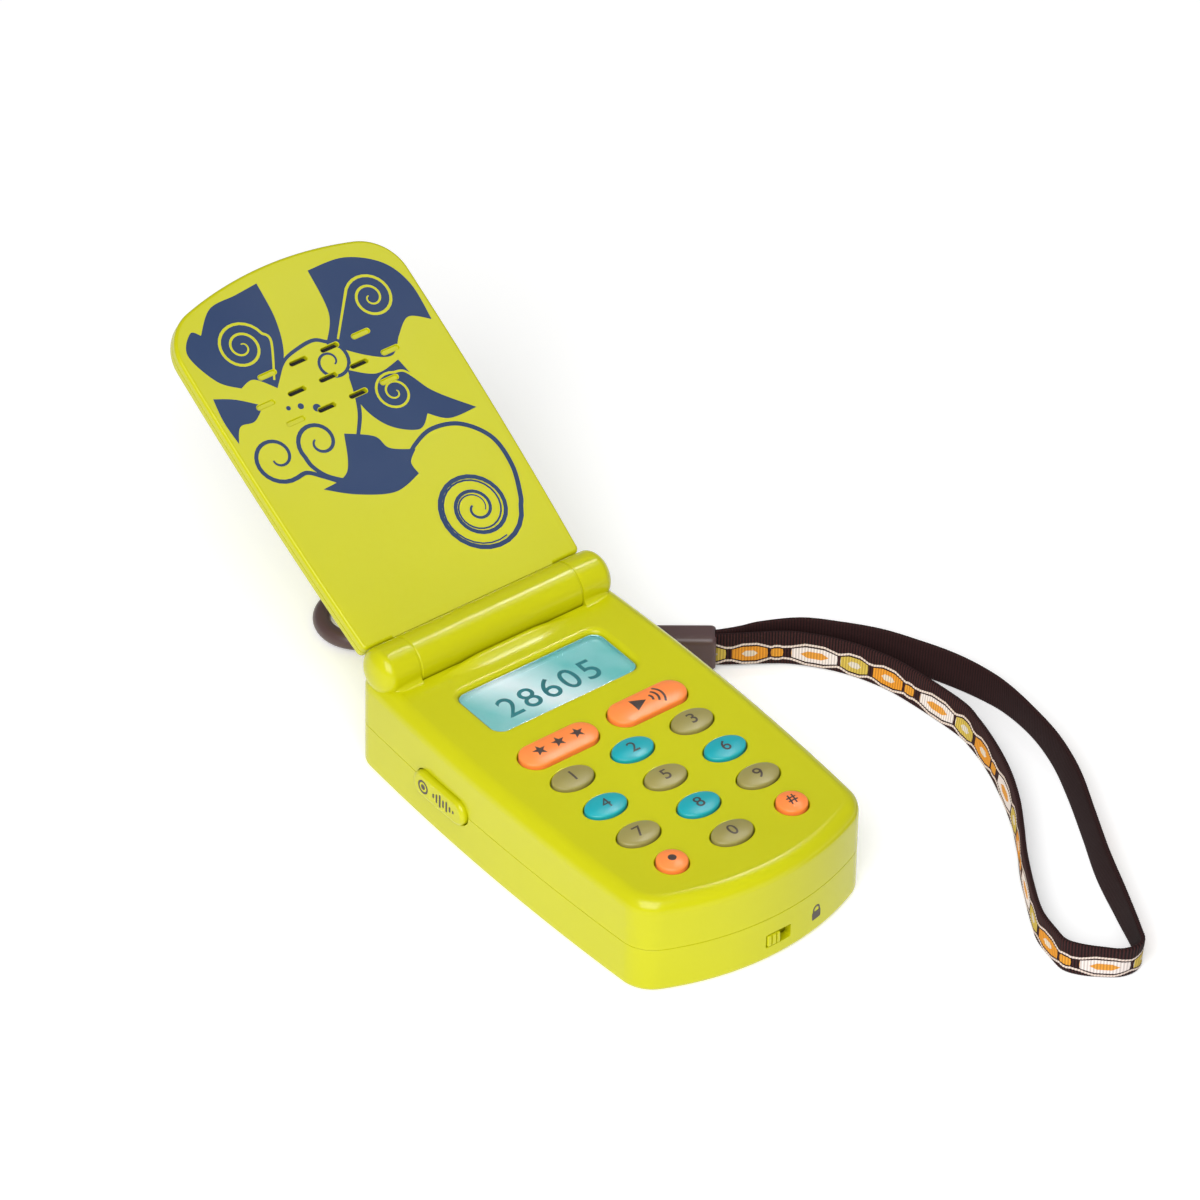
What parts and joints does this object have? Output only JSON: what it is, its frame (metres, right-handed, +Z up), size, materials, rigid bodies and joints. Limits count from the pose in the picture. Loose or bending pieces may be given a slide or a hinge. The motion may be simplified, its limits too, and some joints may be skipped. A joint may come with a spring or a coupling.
{
  "type": "toy cell phone",
  "caption": "Toy flip phone with a hinged lid and speaker grille, lit display, sprung coloured keys, lock slider, and a woven wrist strap on a snap clip.",
  "frame": {"origin": "centre of the body's flat base", "axes": "+Z up out of the base, +Y from the chin to the hinge, +X to the user's right; the lid is open at rest"},
  "size_m": [0.1411, 0.2622, 0.0823],
  "materials": {
    "lime_plastic": "semi-gloss moulded ABS",
    "khaki_plastic": "semi-gloss moulded ABS",
    "teal_plastic": "semi-gloss moulded ABS",
    "orange_plastic": "semi-gloss moulded ABS",
    "steel": "zinc plated",
    "battery_label": "printed shrink sleeve",
    "circuit_board": "solder mask",
    "black_plastic": "matte",
    "silicone": "matte silicone rubber",
    "clear_window": "clear polystyrene",
    "display_glass": "lit liquid crystal panel",
    "light_guide": "frosted acrylic",
    "aluminium_can": "drawn can",
    "wire_jacket": "PVC",
    "woven_ribbon": "jacquard woven polyester",
    "brown_plastic": "satin moulded acetal",
    "black_cloth": "fine speaker cloth",
    "magnet_steel": "plated"
  },
  "bodies": {
    "body": {"front_shell": "lime_plastic", "back_shell": "lime_plastic", "battery_door": "lime_plastic", "door_screw": "steel", "case_screws": "steel", "battery_1": "battery_label", "battery_2": "battery_label", "battery_3": "battery_label", "battery_springs": "steel", "battery_plates": "steel", "main_board": "circuit_board", "board_screws": "steel", "sound_chip": "black_plastic", "keypad_mat": "silicone", "display_window": "clear_window", "display_panel": "display_glass", "display_backlight": "light_guide", "microphone": "aluminium_can", "record_board": "circuit_board", "record_switch": "black_plastic", "lock_switch": "black_plastic", "hinge_pin_left": "steel", "hinge_sleeve_right": "black_plastic", "speaker_lead_body": "wire_jacket", "strap_ribbon": "woven_ribbon", "strap_sleeve": "brown_plastic", "strap_ring": "steel", "clip_body": "brown_plastic", "gate_pin": "steel"},
    "lid": {"lid_inner_panel": "lime_plastic", "lid_outer_cover": "lime_plastic", "speaker_cloth": "black_cloth", "speaker_frame": "black_plastic", "speaker_cone": "black_plastic", "speaker_magnet": "magnet_steel", "speaker_lead_lid": "wire_jacket"},
    "key_0": {"key_0": "khaki_plastic"},
    "key_1": {"key_1": "khaki_plastic"},
    "key_2": {"key_2": "teal_plastic"},
    "key_3": {"key_3": "khaki_plastic"},
    "key_4": {"key_4": "teal_plastic"},
    "key_5": {"key_5": "khaki_plastic"},
    "key_6": {"key_6": "teal_plastic"},
    "key_7": {"key_7": "khaki_plastic"},
    "key_8": {"key_8": "teal_plastic"},
    "key_9": {"key_9": "khaki_plastic"},
    "key_dot": {"key_dot": "orange_plastic"},
    "key_hash": {"key_hash": "orange_plastic"},
    "key_stars": {"key_stars": "orange_plastic"},
    "key_play": {"key_play": "orange_plastic"},
    "record_button": {"record_button": "lime_plastic"},
    "lock_slider": {"lock_slider": "lime_plastic"},
    "clip_gate": {"clip_gate": "brown_plastic"}
  },
  "joints": [
    {"name": "lid_hinge", "type": "hinge", "parent": "body", "child": "lid", "pos_m": [0, 0.0526, 0.0292], "axis": [1, 0, 0], "range_deg": [0, 149.7]},
    {"name": "key_0_press", "type": "slide", "parent": "body", "child": "key_0", "axis": [0, 0, -1], "range_m": [0, 0.001], "stiffness_N_per_m": 400, "springref_m": -0.0002},
    {"name": "key_1_press", "type": "slide", "parent": "body", "child": "key_1", "axis": [0, 0, -1], "range_m": [0, 0.001], "stiffness_N_per_m": 400, "springref_m": -0.0002},
    {"name": "key_2_press", "type": "slide", "parent": "body", "child": "key_2", "axis": [0, 0, -1], "range_m": [0, 0.001], "stiffness_N_per_m": 400, "springref_m": -0.0002},
    {"name": "key_3_press", "type": "slide", "parent": "body", "child": "key_3", "axis": [0, 0, -1], "range_m": [0, 0.001], "stiffness_N_per_m": 400, "springref_m": -0.0002},
    {"name": "key_4_press", "type": "slide", "parent": "body", "child": "key_4", "axis": [0, 0, -1], "range_m": [0, 0.001], "stiffness_N_per_m": 400, "springref_m": -0.0002},
    {"name": "key_5_press", "type": "slide", "parent": "body", "child": "key_5", "axis": [0, 0, -1], "range_m": [0, 0.001], "stiffness_N_per_m": 400, "springref_m": -0.0002},
    {"name": "key_6_press", "type": "slide", "parent": "body", "child": "key_6", "axis": [0, 0, -1], "range_m": [0, 0.001], "stiffness_N_per_m": 400, "springref_m": -0.0002},
    {"name": "key_7_press", "type": "slide", "parent": "body", "child": "key_7", "axis": [0, 0, -1], "range_m": [0, 0.001], "stiffness_N_per_m": 400, "springref_m": -0.0002},
    {"name": "key_8_press", "type": "slide", "parent": "body", "child": "key_8", "axis": [0, 0, -1], "range_m": [0, 0.001], "stiffness_N_per_m": 400, "springref_m": -0.0002},
    {"name": "key_9_press", "type": "slide", "parent": "body", "child": "key_9", "axis": [0, 0, -1], "range_m": [0, 0.001], "stiffness_N_per_m": 400, "springref_m": -0.0002},
    {"name": "key_dot_press", "type": "slide", "parent": "body", "child": "key_dot", "axis": [0, 0, -1], "range_m": [0, 0.001], "stiffness_N_per_m": 400, "springref_m": -0.0002},
    {"name": "key_hash_press", "type": "slide", "parent": "body", "child": "key_hash", "axis": [0, 0, -1], "range_m": [0, 0.001], "stiffness_N_per_m": 400, "springref_m": -0.0002},
    {"name": "key_stars_press", "type": "slide", "parent": "body", "child": "key_stars", "axis": [0, 0, -1], "range_m": [0, 0.001], "stiffness_N_per_m": 400, "springref_m": -0.0002},
    {"name": "key_play_press", "type": "slide", "parent": "body", "child": "key_play", "axis": [0, 0, -1], "range_m": [0, 0.001], "stiffness_N_per_m": 400, "springref_m": -0.0002},
    {"name": "record_button_press", "type": "slide", "parent": "body", "child": "record_button", "axis": [1, 0, 0], "range_m": [0, 0.0012], "stiffness_N_per_m": 400, "springref_m": -0.0002},
    {"name": "lock_slide", "type": "slide", "parent": "body", "child": "lock_slider", "axis": [1, 0, 0], "range_m": [0, 0.0031]},
    {"name": "gate_hinge", "type": "hinge", "parent": "body", "child": "clip_gate", "pos_m": [0.03118, 0.08237, 0.00406], "axis": [-0.0277, 0.024, 0.9993], "range_deg": [0, 24], "stiffness_Nm_per_rad": 0.02, "springref_deg": -5.73}
  ]
}
